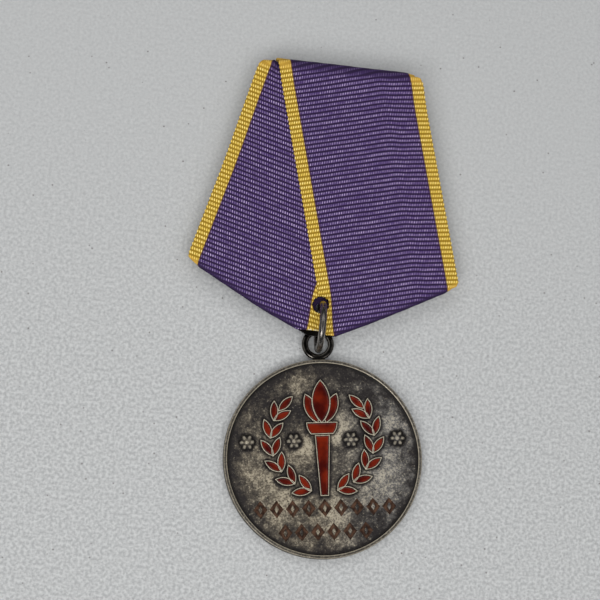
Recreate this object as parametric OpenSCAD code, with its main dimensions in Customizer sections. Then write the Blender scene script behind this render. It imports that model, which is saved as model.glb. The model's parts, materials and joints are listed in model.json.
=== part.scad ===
// Award medal with a folded ribbon mount, lying face up.
// Millimetres. +Z points up out of the obverse, +Y towards the top of the mount.
// The origin is at the middle of the footprint, on the surface that the medal lies on.

/* [Medal] */
// Diameter of the medal
medal_d = 34; // [28:1:40]
// Thickness of the medal at its rim
medal_t = 2.2; // [1.8:0.1:3]
// Width of the raised rim
rim_w = 0.6; // [0.4:0.1:1.2]
// Depth of the field below the rim, on both faces
field_depth = 0.3; // [0.2:0.05:0.5]
// Bevel on the rim's outer edges
rim_bevel = 0.15; // [0.05:0.05:0.25]

/* [Emblem] */
// Height of the cell walls above the field
relief_h = 0.42; // [0.3:0.02:0.6]
// Width of a cell wall
wall_w = 0.26; // [0.2:0.02:0.34]
// How far the enamel lies below the top of its wall
enamel_drop = 0.1; // [0.05:0.01:0.15]
// Thickness of the enamel
enamel_t = 0.5; // [0.3:0.05:0.6]
// Radius of the stems of the wreath
wreath_r = 8.8; // [8.4:0.1:9]
// Leaf pairs on each stem
leaf_pairs = 6; // [4:1:7]
// Length of a leaf's enamel
leaf_l = 3; // [2.4:0.1:3.4]
// Width of a leaf's enamel
leaf_w = 1.05; // [0.8:0.05:1.2]
// Length of the torch handle's enamel
handle_l = 10; // [8:0.5:10.5]
// Width of the torch handle at its upper end
handle_w = 2.2; // [1.6:0.1:2.6]
// Width of the torch bowl
bowl_w = 5; // [4:0.1:5.6]
// Height of the middle flame
flame_h = 7; // [5:0.5:7.5]
// Width of the middle flame
flame_w = 2.8; // [2.2:0.1:3]
// Height of a side flame
side_flame_h = 5; // [4:0.25:5.5]
// Width of a side flame
side_flame_w = 1.9; // [1.5:0.1:2]
// Radius of a rosette, over its petals
rosette_r = 1.55; // [1.2:0.05:1.6]
// Petals of a rosette
rosette_petals = 6; // [5:1:8]
// Radius of a petal
petal_r = 0.53; // [0.4:0.01:0.56]
// Distance of the lower row of lozenges from the medal's lower edge
lower_row_up = 4.6; // [4.4:0.1:5]
// Distance between the two rows
row_pitch = 4; // [3.8:0.1:4.2]
// Height of a lozenge in the two rows
lozenge_h = 3.1; // [2.6:0.1:3.2]
// Width of a lozenge
lozenge_w = 2.45; // [2:0.05:2.5]
// Gap between neighbouring lozenges
lozenge_gap = 0.3; // [0.25:0.05:0.4]
// Width of the enamelled line of a lozenge, along its axes
lozenge_line = 0.9; // [0.5:0.05:1]
// Depth of the lozenges' enamel below the field
lozenge_depth = 0.15; // [0.1:0.05:0.4]

/* [Loop and ring] */
// Outer diameter of the loop on the medal's edge
loop_d = 5.6; // [5.2:0.1:6]
// Thickness of the loop's flattened wire
loop_wire = 0.8; // [0.7:0.05:0.9]
// Width of the loop's flattened wire
loop_w = 1.1; // [0.8:0.05:1.2]
// Outer diameter of the ring
ring_d = 9; // [8.8:0.1:10]
// Wire diameter of the ring
ring_wire = 1.2; // [1:0.05:1.3]
// Width of the cut in the ring
ring_cut = 0.3; // [0.1:0.05:0.5]

/* [Mount] */
// Height of the mount, from the point where its lower edges would meet
mount_h = 49.4; // [46:0.2:54]
// Width of the top edge, between the lines of the sides
top_w = 28; // [25:0.5:30]
// Lean of each side from the upright
side_lean = 15; // [14:0.5:17]
// Rise of each lower edge from the level
lower_rise = 28.3; // [26:0.1:31]
// Height of the blunt tip above the point where the lower edges would meet
tip_cut = 2.1; // [1.9:0.1:2.4]
// How far the former plate shows past the ribbon at the tip
tip_show = 0.3; // [0.1:0.05:0.4]
// Radius of the mount's corners
corner_r = 1; // [0.6:0.1:1.6]
// Height of the hole's centre above that point
hole_up = 7.2; // [7:0.1:7.6]
// Diameter of the hole
hole_d = 3; // [2.9:0.1:3.4]
// Thickness of the former plate
former_t = 0.6; // [0.4:0.1:1]
// Thickness of the back plate
back_t = 0.4; // [0.3:0.1:0.6]
// Distance of the back plate from the mount's edges
back_inset = 2.4; // [2:0.1:4]

/* [Ribbon] */
// Width of the ribbon
ribbon_w = 24.6; // [23:0.1:26]
// Thickness of the ribbon
ribbon_t = 0.4; // [0.3:0.05:0.5]
// Distance of the former plate from the ribbon's outer selvedge
former_inset = 0.8; // [0.5:0.1:1.5]

/* [Brooch pin] */
// Diameter of the needle
needle_d = 0.8; // [0.7:0.05:1]
// Distance from the hinge to the middle of the catch
pin_span = 24.5; // [22:0.5:25]
// Length of the needle past the middle of the catch
needle_past = 3.4; // [2.8:0.1:3.6]
// Length of the needle's point
point_l = 6; // [5.5:0.5:8]
// Length of the thicker neck between the needle's eye and its shaft
neck_l = 1.6; // [1.2:0.1:3]
// Diameter of the neck at the eye
neck_d = 1.6; // [1.2:0.1:1.8]
// Height of the needle's axis above the mount's lower point
pin_up = 37.5; // [34:0.5:39]
// Distance of the needle's axis behind the back plate
pin_off = 2.5; // [2.2:0.1:3]
// Diameter of the rivet
rivet_d = 0.8; // [0.6:0.05:1]
// Thickness of the sheet of the bracket and the catch
sheet_t = 0.5; // [0.4:0.05:0.6]
// Width of the catch
catch_w = 3; // [2:0.1:3.4]
// Width of the needle's eye
eye_w = 1.4; // [1.1:0.1:1.8]

/* [Rest] */
// Turn of the medal on the ring as it lies
medal_turn = 7.3; // [0:0.1:10]
// Sideways place of the ring in its hole
ring_side = 0.2; // [0:0.1:0.6]
// How far the ring lies below the middle of its hole
ring_low = 0.2; // [0:0.05:0.3]
// How far the ring stands to the right of the loop's middle
loop_side = 0.2; // [0:0.1:0.6]
// How far round the ring the loop sits from the lowest point
loop_seat = 7; // [4:1:12]

/* [Clearances] */
// Gap between the loop and the ring's wire
loop_gap = 0.15; // [0.1:0.01:0.2]
// Gap between the mount's underside and the loop
rest_gap = 0.2; // [0.15:0.01:0.4]
// Radial gap of the needle's eye on the rivet
eye_gap = 0.05; // [0.02:0.01:0.08]
// Side gap of the needle's eye between the ears
ear_gap = 0.1; // [0.05:0.01:0.2]
// Gap round the needle in the catch
catch_gap = 0.2; // [0.1:0.01:0.25]
// Gap between enamel and its cell
enamel_gap = 0.02; // [0.01:0.01:0.04]

/* [Hidden] */
$fn = 64;

silver = "#8c8a86";
dark_metal = "#4a4743";
violet = "#5d4a86";
red = "#b3261a";
dark_red = "#6b241b";

// Layers of the mount, from its rear face at 0 to its front
back_run_z = back_t;
former_z = back_run_z + ribbon_t;
front_z = former_z + former_t;
over_z = front_z + ribbon_t;
mount_t = over_z + ribbon_t;
fold_z = former_z + former_t / 2;
fold_in_r = former_t / 2;
fold_r = fold_in_r + ribbon_t;
over_fold_r = fold_r + ribbon_t;
side_reach = top_w / 2 * cos(side_lean) + mount_h * sin(side_lean);
// How far the upper ribbon lies on before it steps down past the lower one
step_lap = 1;
join = 0.01;

// The ring stands on its edge, and the loop lies in it
ring_r = (ring_d - ring_wire) / 2;
ring_z = ring_d / 2;
loop_r = (loop_d - loop_w) / 2;
loop_y = medal_d / 2 + loop_d / 2;
seat_r = ring_r - ring_wire / 2 - loop_wire / 2 - loop_gap;
seat_z = ring_z - seat_r * cos(loop_seat);

// The mount lies on the hinge and the catch at its top, and just clear of the loop at its tip
foot_h = pin_off + needle_d / 2 + catch_gap + sheet_t;
foot_y = pin_up - catch_w / 2;
tip_z = seat_z + loop_wire / 2 + rest_gap - back_t;
mount_tilt = acos(tip_z / norm([foot_h, foot_y])) - atan2(foot_y, foot_h);
hole_mid_y = hole_up * cos(mount_tilt) - mount_t / 2 * sin(mount_tilt);
hole_mid_z = tip_z + hole_up * sin(mount_tilt) + mount_t / 2 * cos(mount_tilt);
ring_y = hole_mid_y - ring_low - sqrt(pow(ring_r, 2) - pow(hole_mid_z - ring_z, 2));
seat_y = ring_y - seat_r * sin(loop_seat);

// The medal leans on the ring, with its lower edge on the ground
loop_top_y = loop_y + loop_r;
lean_reach = loop_top_y + medal_d / 2 - rim_bevel;
lean = asin(seat_z / norm([lean_reach, medal_t / 2])) - atan2(medal_t / 2, lean_reach);

// Middle of the footprint
top_y = (mount_h - over_fold_r) * cos(mount_tilt) - fold_z * sin(mount_tilt) + over_fold_r;
disc_y = seat_y - loop_top_y * cos(lean) * cos(medal_turn);
normal_y = sin(lean) * cos(medal_turn);
low_y = disc_y - medal_d / 2 * sqrt(1 - pow(normal_y, 2)) - (medal_t / 2 - rim_bevel) * normal_y;
centre_y = (top_y + low_y) / 2;

field_z = medal_t - field_depth;
wall_z = field_z + relief_h;
enamel_top = wall_z - enamel_drop;
rim_in_r = medal_d / 2 - rim_w;
rim_slope = 0.12;

// ---------- placing ----------

module in_mount_frame() {
    translate([0, -centre_y, tip_z]) rotate([mount_tilt, 0, 0]) children();
}

module in_medal_frame() {
    translate([ring_side - loop_side, seat_y - centre_y, seat_z])
        rotate([0, 0, medal_turn])
            rotate([lean, 0, 0])
                translate([0, -loop_top_y, -medal_t / 2])
                    children();
}

module mirrored_pair() {
    children();
    mirror([1, 0, 0]) children();
}

// ---------- outline of the mount ----------

// Arc that rounds the corner b between a and c
function round_corner(a, b, c, r, steps = 5) =
    let (u = (a - b) / norm(a - b),
         v = (c - b) / norm(c - b),
         half = acos(u * v) / 2,
         mid = (u + v) / norm(u + v),
         centre = b + mid * r / sin(half),
         start = b + u * r / tan(half) - centre,
         turn = sign(u[0] * v[1] - u[1] * v[0]) * -(180 - 2 * half))
    [for (i = [0:steps]) let (k = turn * i / steps)
        centre + [start[0] * cos(k) - start[1] * sin(k), start[0] * sin(k) + start[1] * cos(k)]];

// Right half of the outline, from the tip upwards, each edge moved in by its inset
function half_outline(side_in, lower_in, top_in, cut) =
    let (reach = side_reach - side_in,
         top = mount_h - top_in,
         spread = cos(side_lean - lower_rise))
    [[(cut * cos(lower_rise) - lower_in) / sin(lower_rise), cut],
     [(reach * cos(lower_rise) - lower_in * sin(side_lean)) / spread,
      (reach * sin(lower_rise) + lower_in * cos(side_lean)) / spread],
     [(reach - top * sin(side_lean)) / cos(side_lean), top]];

module outline(side_in = 0, lower_in = 0, top_in = 0, cut = tip_cut, r = corner_r) {
    p = half_outline(side_in, lower_in, top_in, cut);
    left_top = [-p[2][0], p[2][1]];
    right = concat([p[0]], round_corner(p[0], p[1], p[2], r), round_corner(p[1], p[2], left_top, r));
    left = [for (i = [len(right) - 1:-1:0]) [-right[i][0], right[i][1]]];
    polygon(concat(right, left));
}

// Band of ribbon along one side: side is 1 for the right one, -1 for the left one
module band(side, extra = 0) {
    mirror([side > 0 ? 0 : 1, 0])
        translate([top_w / 2, mount_h])
            rotate(side_lean)
                translate([-ribbon_w - extra, -2 * mount_h])
                    square([ribbon_w + extra, 3 * mount_h]);
}

module hole_cut() {
    translate([0, hole_up, -1]) cylinder(d = hole_d, h = mount_t + 2);
}

// Half pipe of ribbon folded round a straight edge that runs along X at y = 0, the mount below it
module fold_pipe(in_r, out_r) {
    translate([-mount_h, -out_r, fold_z])
        rotate([0, 90, 0])
            linear_extrude(2 * mount_h)
                difference() {
                    circle(out_r);
                    circle(in_r);
                    translate([-out_r - 1, -out_r - 1]) square([2 * out_r + 2, out_r + 1]);
                }
}

module lower_fold(side) {
    mirror([side > 0 ? 0 : 1, 0, 0])
        rotate([0, 0, lower_rise])
            mirror([0, 1, 0])
                fold_pipe(fold_in_r, fold_r);
}

module run_prism(side) {
    translate([0, 0, -1])
        linear_extrude(mount_t + 2)
            intersection() {
                outline();
                band(side);
            }
}

// ---------- the mount ----------

module former_plate() {
    color(dark_metal) in_mount_frame() difference() {
        translate([0, 0, former_z])
            linear_extrude(former_t)
                outline(former_inset, fold_r, over_fold_r, tip_cut - tip_show);
        hole_cut();
    }
}

module ribbon_left_run() {
    color(violet) in_mount_frame() difference() {
        union() {
            translate([0, 0, front_z]) linear_extrude(ribbon_t) intersection() {
                outline(0, fold_r - join, over_fold_r - join);
                band(-1);
            }
            intersection() {
                union() {
                    lower_fold(-1);
                    translate([0, mount_h - ribbon_t, 0]) fold_pipe(fold_in_r, fold_r);
                }
                run_prism(-1);
            }
        }
        hole_cut();
    }
}

module ribbon_right_run() {
    color(violet) in_mount_frame() difference() {
        union() {
            translate([0, 0, over_z]) linear_extrude(ribbon_t) intersection() {
                outline(0, fold_r - join, over_fold_r - join);
                band(1);
                band(-1, step_lap);
            }
            translate([0, 0, front_z]) linear_extrude(ribbon_t) difference() {
                intersection() {
                    outline(0, fold_r - join, over_fold_r - join);
                    band(1);
                }
                band(-1);
            }
            intersection() {
                union() {
                    lower_fold(1);
                    translate([0, mount_h, 0]) fold_pipe(fold_r, over_fold_r);
                }
                run_prism(1);
            }
        }
        hole_cut();
    }
}

module ribbon_back_run() {
    color(violet) in_mount_frame() difference() {
        translate([0, 0, back_run_z])
            linear_extrude(ribbon_t)
                outline(ribbon_t, fold_r, over_fold_r, tip_cut + ribbon_t);
        hole_cut();
    }
}

module back_plate() {
    color(dark_metal) in_mount_frame()
        linear_extrude(back_t)
            outline(back_inset, back_inset, back_inset, hole_up + hole_d / 2 + back_inset);
}

// ---------- brooch pin ----------

hinge_x = -pin_span / 2;
catch_x = hinge_x + pin_span;
ear_r = foot_h - pin_off;
eye_bore_r = rivet_d / 2 + eye_gap;
ear_in_y = eye_w / 2 + ear_gap;
ear_out_y = ear_in_y + sheet_t;
rivet_lip = 0.3;
rivet_head_r = rivet_d / 2 + rivet_lip;
rivet_head_t = 0.3;
base_l = 4.6;
catch_in_r = ear_r - sheet_t;
// How far the catch curls up past the needle on its open side
catch_curl = 50;
needle_tip_d = 0.1;

// A profile in YZ, extruded along X by width, its middle at x = 0
module across(width) {
    translate([-width / 2, 0, 0]) rotate([90, 0, 90]) linear_extrude(width) children();
}

module hinge_bracket() {
    color(dark_metal) in_mount_frame() translate([hinge_x, pin_up, 0]) {
        difference() {
            union() {
                translate([-base_l / 2, -ear_out_y, -sheet_t]) cube([base_l, 2 * ear_out_y, sheet_t]);
                for (y = [-ear_out_y, ear_in_y])
                    translate([0, y, 0]) {
                        translate([-ear_r, 0, -pin_off]) cube([2 * ear_r, sheet_t, pin_off - sheet_t + join]);
                        translate([0, sheet_t, -pin_off]) rotate([90, 0, 0]) cylinder(r = ear_r, h = sheet_t);
                    }
            }
            translate([0, ear_out_y + 1, -pin_off])
                rotate([90, 0, 0])
                    cylinder(d = rivet_d, h = 2 * ear_out_y + 2);
        }
    }
}

module hinge_rivet() {
    color(silver) in_mount_frame() translate([hinge_x, pin_up, -pin_off]) rotate([90, 0, 0]) {
        translate([0, 0, -ear_out_y - rivet_head_t]) cylinder(d = rivet_d, h = 2 * (ear_out_y + rivet_head_t));
        for (z = [-ear_out_y - rivet_head_t, ear_out_y])
            translate([0, 0, z]) cylinder(r = rivet_head_r, h = rivet_head_t);
    }
}

// Hook of bent sheet, open towards the lower end of the mount
module catch_hook() {
    color(dark_metal) in_mount_frame() translate([catch_x, pin_up, 0]) across(catch_w) {
        translate([catch_in_r, -pin_off]) square([sheet_t, pin_off]);
        translate([catch_in_r, -sheet_t]) square([base_l / 2, sheet_t]);
        translate([0, -pin_off]) difference() {
            circle(ear_r);
            circle(catch_in_r);
            translate([-2 * ear_r, 0]) square([4 * ear_r, 2 * ear_r]);
            rotate(180 + catch_curl) translate([0, -3 * ear_r]) square(3 * ear_r);
        }
    }
}

module brooch_needle() {
    shaft_l = pin_span + needle_past - point_l;
    eye_r = ear_r - catch_gap / 2;
    color(silver) in_mount_frame() translate([hinge_x, pin_up, -pin_off]) difference() {
        union() {
            rotate([90, 0, 0]) translate([0, 0, -eye_w / 2]) cylinder(r = eye_r, h = eye_w);
            rotate([0, 90, 0]) cylinder(d1 = neck_d, d2 = needle_d, h = eye_r + neck_l);
            rotate([0, 90, 0]) cylinder(d = needle_d, h = shaft_l);
            translate([shaft_l, 0, 0]) rotate([0, 90, 0]) cylinder(d1 = needle_d, d2 = needle_tip_d, h = point_l);
        }
        rotate([90, 0, 0]) translate([0, 0, -eye_w]) cylinder(r = eye_bore_r, h = 2 * eye_w);
    }
}

// ---------- ring and medal ----------

// Where the ring's cut lies round it, and the width of the foot that joins the loop to the medal
ring_cut_at = 32;
loop_foot_w = 2;

module suspension_ring() {
    color(silver)
        translate([ring_side, ring_y - centre_y, ring_z])
            rotate([0, 90, 0])
                rotate([0, 0, ring_cut_at])
                    rotate_extrude(angle = 360 - ring_cut / ring_r * 180 / PI)
                        translate([ring_r, 0]) circle(d = ring_wire);
}

// Flattened round wire: a slot with rounded ends
module loop_section() {
    flat = (loop_w - loop_wire) / 2;
    polygon([for (side = [1, -1], k = [-90:15:90])
        side * [flat + loop_wire / 2 * cos(k), loop_wire / 2 * sin(k)]]);
}

module medal_loop() {
    color(silver) in_medal_frame() translate([0, loop_y, medal_t / 2]) difference() {
        union() {
            rotate_extrude() translate([loop_r, 0]) loop_section();
            translate([-loop_foot_w / 2, -loop_d / 2 - loop_wire / 2, -loop_wire / 2])
                cube([loop_foot_w, loop_wire, loop_wire]);
        }
        translate([0, -loop_y, -medal_t / 2 - 1]) cylinder(d = medal_d, h = medal_t + 2);
    }
}

// Leaf of two equal arcs, its point up the Y axis
module lens(length, width) {
    r = (pow(length, 2) + pow(width, 2)) / (4 * width);
    intersection() {
        translate([r - width / 2, 0]) circle(r);
        translate([width / 2 - r, 0]) circle(r);
    }
}

module leaf(grow) {
    lens(leaf_l + 3 * grow, leaf_w + 2 * grow);
}

// One stem's leaves, to the right of the torch
module spray(grow) {
    for (i = [0:leaf_pairs - 1], side = [-1, 1])
        translate(wreath_centre)
            rotate(spray_start + i * spray_sweep / leaf_pairs)
                translate([wreath_r + side * leaf_off, 0])
                    rotate(-side * leaf_lean)
                        leaf(grow);
    translate(wreath_centre) rotate(end_leaf_at) translate([wreath_r, 0]) leaf(grow);
}

module stem() {
    translate(wreath_centre) difference() {
        intersection() {
            circle(wreath_r + wall_w / 2);
            polygon([[0, 0], for (k = [0:3]) let (turn = stem_start + k * stem_sweep / 3)
                2 * wreath_r * [cos(turn), sin(turn)]]);
        }
        circle(wreath_r - wall_w / 2);
    }
}

// The torch stands on the medal's centre line
handle_foot = -6.2;
handle_top = handle_foot + handle_l;
bowl_y = handle_top + 2 * wall_w;
bowl_h = 1.7;
flame_y = bowl_y + bowl_h + wall_w;
side_flame_at = [1.7, flame_y + 2.3];
side_flame_turn = 22;

// The sprays bend round one centre, each leaf pair leaning out from its stem
wreath_centre = [0, 3.2];
spray_start = -66;
spray_sweep = 118;
end_leaf_at = spray_start + spray_sweep - 6;
stem_start = -88;
stem_sweep = 119;
leaf_off = leaf_w / 2 + wall_w;
leaf_lean = 30;

// The upper row of lozenges, then the lower one
row_y = [-medal_d / 2 + lower_row_up + row_pitch, -medal_d / 2 + lower_row_up];
row_count = [9, 6];

// Places and steps of the rosettes
rosette_x = [4.9, 12.9];
rosette_y = 3.1;
petal_h = 0.34;
web_h = 0.2;

module handle(grow) {
    polygon([[-handle_w / 4 - grow, handle_foot - grow], [handle_w / 4 + grow, handle_foot - grow],
             [handle_w / 2 + grow, handle_top + grow], [-handle_w / 2 - grow, handle_top + grow]]);
}

module bowl(grow) {
    intersection() {
        translate([-bowl_w, bowl_y - grow]) square([2 * bowl_w, bowl_h + 2 * grow]);
        translate([0, bowl_y + bowl_h]) circle(bowl_w / 2 + grow);
    }
}

module middle_flame(grow) {
    translate([0, flame_y + flame_h / 2]) lens(flame_h + 3 * grow, flame_w + 2 * grow);
}

module side_flame(grow) {
    translate(side_flame_at)
        rotate(-side_flame_turn)
            lens(side_flame_h + 3 * grow, side_flame_w + 2 * grow);
}

module flame(grow) {
    difference() {
        union() {
            middle_flame(grow);
            side_flame(grow);
            mirror([1, 0]) side_flame(grow);
        }
        bowl(wall_w + grow / 2);
    }
}

module flame_cells(shrink = 0) {
    difference() {
        middle_flame(-shrink);
        bowl(wall_w + shrink);
    }
    mirrored_pair() difference() {
        side_flame(-shrink);
        middle_flame(wall_w + shrink);
        bowl(wall_w + shrink);
    }
}

module torch_cells(shrink = 0) {
    handle(-shrink);
    bowl(-shrink);
}

module lozenge(grow = 0) {
    scale_w = (lozenge_w / 2 + grow) / (lozenge_h / 2 + grow);
    polygon([for (i = [0:3]) let (k = 90 * i, reach = lozenge_h / 2 + grow)
        [reach * scale_w * cos(k), reach * sin(k)]]);
}

module lozenge_row(row, shrink = 0) {
    pitch = lozenge_w + lozenge_gap;
    for (i = [0:row_count[row] - 1])
        translate([(i - (row_count[row] - 1) / 2) * pitch, row_y[row]])
            difference() {
                lozenge(-shrink);
                lozenge(shrink - lozenge_line);
            }
}

module rosette() {
    for (i = [0:rosette_petals - 1])
        rotate([0, 0, 360 / rosette_petals * i])
            translate([rosette_r - petal_r, 0, 0])
                cylinder(r = petal_r, h = petal_h);
    cylinder(r = rosette_r - petal_r, h = web_h);
    cylinder(r = petal_r, h = relief_h);
}

module flan() {
    r = medal_d / 2;
    rotate_extrude($fn = 128) polygon([
        [0, field_depth], [rim_in_r - rim_slope, field_depth], [rim_in_r, 0],
        [r - rim_bevel, 0], [r, rim_bevel], [r, medal_t - rim_bevel], [r - rim_bevel, medal_t],
        [rim_in_r, medal_t], [rim_in_r - rim_slope, field_z], [0, field_z]]);
}

module medal_disc() {
    cell_floor = enamel_top - enamel_t;
    color(silver) in_medal_frame() difference() {
        union() {
            flan();
            translate([0, 0, field_z - join]) linear_extrude(relief_h + join) {
                handle(wall_w);
                bowl(wall_w);
                flame(wall_w);
                mirrored_pair() {
                    spray(wall_w);
                    stem();
                }
            }
            mirrored_pair() for (x = rosette_x)
                translate([x, rosette_y, field_z - join]) rosette();
        }
        translate([0, 0, cell_floor]) linear_extrude(2 * enamel_t) {
            torch_cells();
            flame_cells();
            mirrored_pair() spray(0);
        }
        translate([0, 0, field_z - lozenge_depth - enamel_t / 2]) linear_extrude(enamel_t * 2)
            for (row = [0, 1]) lozenge_row(row);
    }
}

module enamel(colour) {
    color(colour) in_medal_frame()
        translate([0, 0, enamel_top - enamel_t + enamel_gap])
            linear_extrude(enamel_t - enamel_gap)
                children();
}

module border_enamel(row) {
    color(dark_red) in_medal_frame()
        translate([0, 0, field_z - lozenge_depth - enamel_t / 2 + enamel_gap])
            linear_extrude(enamel_t / 2)
                lozenge_row(row, enamel_gap);
}

module flame_enamel() { enamel(red) flame_cells(enamel_gap); }
module torch_enamel() { enamel(red) torch_cells(enamel_gap); }
module laurel_enamel_right() { enamel(red) spray(-enamel_gap); }
module laurel_enamel_left() { enamel(red) mirror([1, 0]) spray(-enamel_gap); }
module border_enamel_upper() { border_enamel(0); }
module border_enamel_lower() { border_enamel(1); }

former_plate();
ribbon_left_run();
ribbon_right_run();
ribbon_back_run();
back_plate();
hinge_bracket();
hinge_rivet();
catch_hook();
brooch_needle();
suspension_ring();
medal_disc();
medal_loop();
flame_enamel();
torch_enamel();
laurel_enamel_left();
laurel_enamel_right();
border_enamel_upper();
border_enamel_lower();
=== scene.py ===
"""Looks of an award medal on a folded ribbon mount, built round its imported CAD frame.

Each part is built in its own millimetres, the mount's or the medal's, and placed by one matrix.
"""

import json
import math

import bmesh
import bpy
import numpy as np
from mathutils import Matrix, Vector, geometry, kdtree, noise


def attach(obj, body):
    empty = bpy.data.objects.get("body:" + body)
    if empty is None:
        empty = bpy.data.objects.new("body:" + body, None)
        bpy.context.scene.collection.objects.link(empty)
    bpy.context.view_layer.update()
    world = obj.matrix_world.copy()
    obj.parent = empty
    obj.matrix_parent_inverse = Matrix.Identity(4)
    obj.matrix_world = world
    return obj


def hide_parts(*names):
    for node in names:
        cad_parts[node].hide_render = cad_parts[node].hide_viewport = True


MM = 0.001

# The mount, from the point where its lower edges would meet, seen from the front
MOUNT_H = 49.4
TOP_W = 28.0
SIDE_LEAN = math.radians(15)
LOWER_RISE = math.radians(28.3)
TIP_CUT = 2.1
CORNER_R = 1.2
BACK_T = 0.4
MOUNT_T = 2.2

# The ring's hole through the front runs, and the closer one through the back run: middle and radius
HOLE_UP = 7.2
HOLE = (0.0, HOLE_UP, 1.5)
BACK_HOLE = (0.2, HOLE_UP - 0.45, 0.98)

# The ribbon and the radii of its folds, to its outer face
RIBBON_W = 24.6
RIBBON_T = 0.4
CLOTH_T = 0.26
FOLD_Z = 1.1
FOLD_R = 0.7
OVER_FOLD_R = 1.1
HEM = 1.0

# The weave. Its floats and the stripes' yarns are drawn coarser than real ones, so that they show
RIB_PITCH = 0.77
RIB_DEPTH = 0.05
FIRST_RIB = -62
LAST_RIB = 14
ROWS_PER_RIB = 5
FLOAT_PITCH = 0.42
STRIPE_W = 2.1
STRIPE_YARNS = 5
YARN_DEPTH = 0.04
YARN_COLS = 4
BODY_COL = 0.38
BACK_COLS = 81
SCALLOP = 0.12

# How the runs lie: drawn in towards the tip, spread and puffed at the top, slack and askew
DRAWN_IN = 1.3
OVER_DRAWN_IN = 0.7
DRAWN_UP = 10.0
SHORT_END = 0.55
TOP_SPREAD = 0.45
SPREAD_H = 22
TOP_PUFF = 0.6
SKEW_W = 8.5
SKEW = math.tan(math.radians(7.5))
WAVINESS = 0.05
SLACK = 0.03

# The medal, from the middle of its reverse
MEDAL_R = 17.0
MEDAL_T = 2.2
RIM_IN_R = 16.4
RIM_STEPS = 480
FIELD_R = 16.2
FIELD_Z = 1.9
FIELD_SPACING = 0.24
CHANNEL_DEPTH = 0.34
REVERSE_R = FIELD_R - 0.1
REVERSE_Z = 0.3
REVERSE_SPACING = 0.4
LOOP_TOP_Y = 22.05
LOOP_SIDE = 0.2

# The enamel and the walls of its cells
RED_NODES = ("flame_enamel", "torch_enamel", "laurel_enamel_left", "laurel_enamel_right")
BORDER_NODES = ("border_enamel_upper", "border_enamel_lower")
ENAMEL_Z = 2.22
ENAMEL_T = 0.2
ENAMEL_SPACING = 0.15
RED_DOME = 0.1
BORDER_ENAMEL_Z = 1.77
BORDER_DOME = 0.04
WALL_Z = 2.32
WALL_W = 0.26
WALL_STEP = 0.22

# The rosettes
ROSETTE_X = (4.9, 12.9)
ROSETTE_Y = 3.1
ROSETTE_R = 1.55
ROSETTE_RINGS = 22
ROSETTE_SPOKES = 96
PETALS = 6
PETAL_H = 0.36
EYE_H = 0.4
WEB_H = 0.14

# Where the field is lighter, from wear and from painted reflection: place, size and strength
WORN_AND_LIT_PATCHES = (
    (-10.5, 0.0, 4.5, 0.28), (-7.5, -6.5, 4.0, 0.36), (-2.8, 2.0, 2.6, 0.55), (2.8, 4.5, 2.4, 0.6),
    (0.5, -10.0, 5.0, 0.3), (10.0, -3.0, 5.0, 0.37), (12.5, 5.5, 4.0, 0.4), (-3.0, 13.0, 2.5, 0.2),
)

# The rim's section, from the field round the edge to the reverse: radius, height and wear
RIM_SECTION = (
    (FIELD_R - 0.1, FIELD_Z - 0.03, 0.0), (FIELD_R, FIELD_Z + 0.004, 0.0),
    (FIELD_R + 0.1, FIELD_Z + 0.04, 0.0), (RIM_IN_R - 0.02, FIELD_Z + 0.16, 0.1),
    (RIM_IN_R + 0.04, MEDAL_T - 0.04, 1.0), (RIM_IN_R + 0.14, MEDAL_T, 0.4),
    (MEDAL_R - 0.2, MEDAL_T, 0.3), (MEDAL_R - 0.08, MEDAL_T - 0.03, 0.7),
    (MEDAL_R, MEDAL_T - 0.16, 0.3), (MEDAL_R, 0.16, 0.3),
    (MEDAL_R - 0.08, 0.03, 0.8), (MEDAL_R - 0.2, 0.0, 0.4),
    (RIM_IN_R + 0.14, 0.0, 0.4), (RIM_IN_R, 0.06, 0.8),
    (FIELD_R + 0.06, 0.26, 0.0), (REVERSE_R, REVERSE_Z, 0.0),
)

# A cell wall's section, from the enamel outwards: distance, height and wear
WALL_SECTION = (
    (-0.03, ENAMEL_Z - 0.15, 0.0), (0.01, WALL_Z - 0.07, 0.1), (0.07, WALL_Z - 0.012, 0.6),
    (WALL_W / 2, WALL_Z, 0.9), (WALL_W - 0.06, WALL_Z - 0.015, 0.5), (WALL_W - 0.01, WALL_Z - 0.08, 0.0),
    (WALL_W + 0.02, FIELD_Z + 0.14, 0.0), (WALL_W + 0.1, FIELD_Z - 0.03, 0.0),
)

# How the medal lies on its ring
MEDAL_TURN = math.radians(7.3)
MEDAL_LEAN = math.radians(0.988)
LOOP_SEAT = math.radians(7)
SEAT_R = 2.75

# Metals of the nodes that keep their CAD shape: two tones, roughness, grain in millimetres, and nodes
METALS = {
    "ring_wire": ("736e6a", "a39d96", 0.16, 0.8, ("suspension_ring",)),
    "loop_wire": ("33302e", "7a756d", 0.05, 0.8, ("medal_loop",)),
    "plate_metal": (
        "151311", "282522", 0.42, 1.5, ("former_plate", "back_plate", "hinge_bracket", "catch_hook")
    ),
    "rivet_brass": ("7d6a42", "a58c58", 0.35, 0.8, ("hinge_rivet",)),
    "needle_wire": ("8d8f92", "b3b4b6", 0.22, 0.6, ("brooch_needle",)),
}

# The stage: a table, a room, and lamps with place, size, power and whether gloss shows them
TABLE_SIZE = 2.4
ROOM_STRENGTH = 0.8
LAMP_COLOUR = "fdfdff"
LAMPS = {
    "key": ((-0.22, -0.38, 0.46), 0.2, 0.7, True),
    "fill": ((0.0, -0.16, 0.5), 0.35, 1.66, False),
    "back_fill": ((-0.1, 0.26, 0.42), 0.35, 0.35, False),
}

# The camera: its place in millimetres, the way it looks, its upward side and its lens
CAMERA_PLACE = (-32.3, -67.37, 339.4)
CAMERA_FORWARD = (0.0834, 0.1989, -0.9765)
CAMERA_UP = (-0.1043, 0.9763, 0.1897)
CAMERA_LENS = 120
CAMERA_SENSOR = 36

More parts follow.
